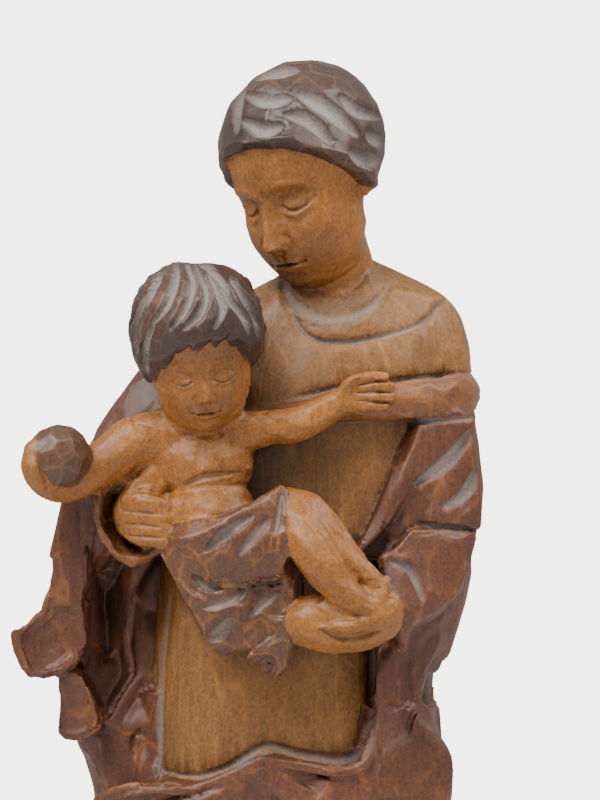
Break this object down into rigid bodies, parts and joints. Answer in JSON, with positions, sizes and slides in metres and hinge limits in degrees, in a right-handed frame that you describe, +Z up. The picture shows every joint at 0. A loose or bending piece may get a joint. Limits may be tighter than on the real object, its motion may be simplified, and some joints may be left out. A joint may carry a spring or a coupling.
{
  "type": "virgin and child statue",
  "caption": "Standing carved wooden statue of a draped mother who holds a child with a ball, on a low oval plinth.",
  "frame": {"origin": "middle of the front drawing on the flat underside of the plinth", "axes": "+Z up the figure, -Y the way the figure faces, +X to the viewer's right"},
  "size_m": [0.1741, 0.1213, 0.609],
  "materials": {
    "stained_wood": "stained and waxed limewood, satin"
  },
  "bodies": {
    "root": {"virgin_and_child": "stained_wood"}
  },
  "joints": []
}
